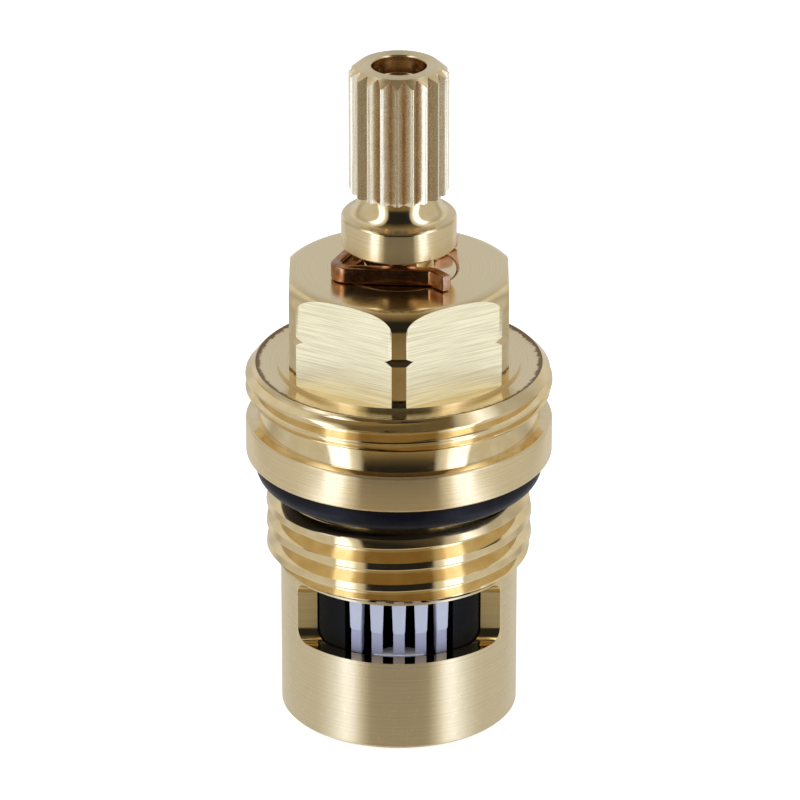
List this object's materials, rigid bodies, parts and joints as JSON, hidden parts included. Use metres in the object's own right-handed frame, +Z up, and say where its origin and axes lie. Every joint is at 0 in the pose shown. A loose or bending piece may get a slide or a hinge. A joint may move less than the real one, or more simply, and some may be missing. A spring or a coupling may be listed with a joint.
{
  "type": "ceramic disc tap cartridge",
  "caption": "Quarter-turn ceramic disc tap cartridge: brass body with outlet windows, two threads and a spanner hexagon, and a splined spindle that turns a ported disc.",
  "frame": {"origin": "centre of the seat seal's underside", "axes": "+Z up the spindle's axis towards the handle, -Y towards an outlet window"},
  "size_m": [0.0239, 0.0238, 0.0544],
  "materials": {
    "body_brass": "turned",
    "spindle_brass": "turned and broached",
    "bronze_wire": "drawn wire",
    "black_rubber": "moulded",
    "black_plastic": "moulded",
    "white_plastic": "moulded",
    "pale_plastic": "moulded",
    "disc_ceramic": "lapped"
  },
  "bodies": {
    "housing": {"body": "body_brass", "body_o_ring": "black_rubber", "seat_seal": "black_rubber", "seal_support_ring": "pale_plastic", "fixed_disc": "disc_ceramic"},
    "spindle_group": {"spindle": "spindle_brass", "stem_o_ring_lower": "black_rubber", "stem_o_ring_upper": "black_rubber", "retaining_clip": "bronze_wire", "thrust_washer": "pale_plastic", "disc_carrier": "black_plastic", "silencer_comb_front": "white_plastic", "silencer_comb_rear": "white_plastic", "moving_disc": "disc_ceramic"}
  },
  "joints": [
    {"name": "spindle_turn", "type": "hinge", "parent": "housing", "child": "spindle_group", "pos_m": [0, 0, 0.03], "axis": [0, 0, 1], "range_deg": [-90, 0]}
  ]
}
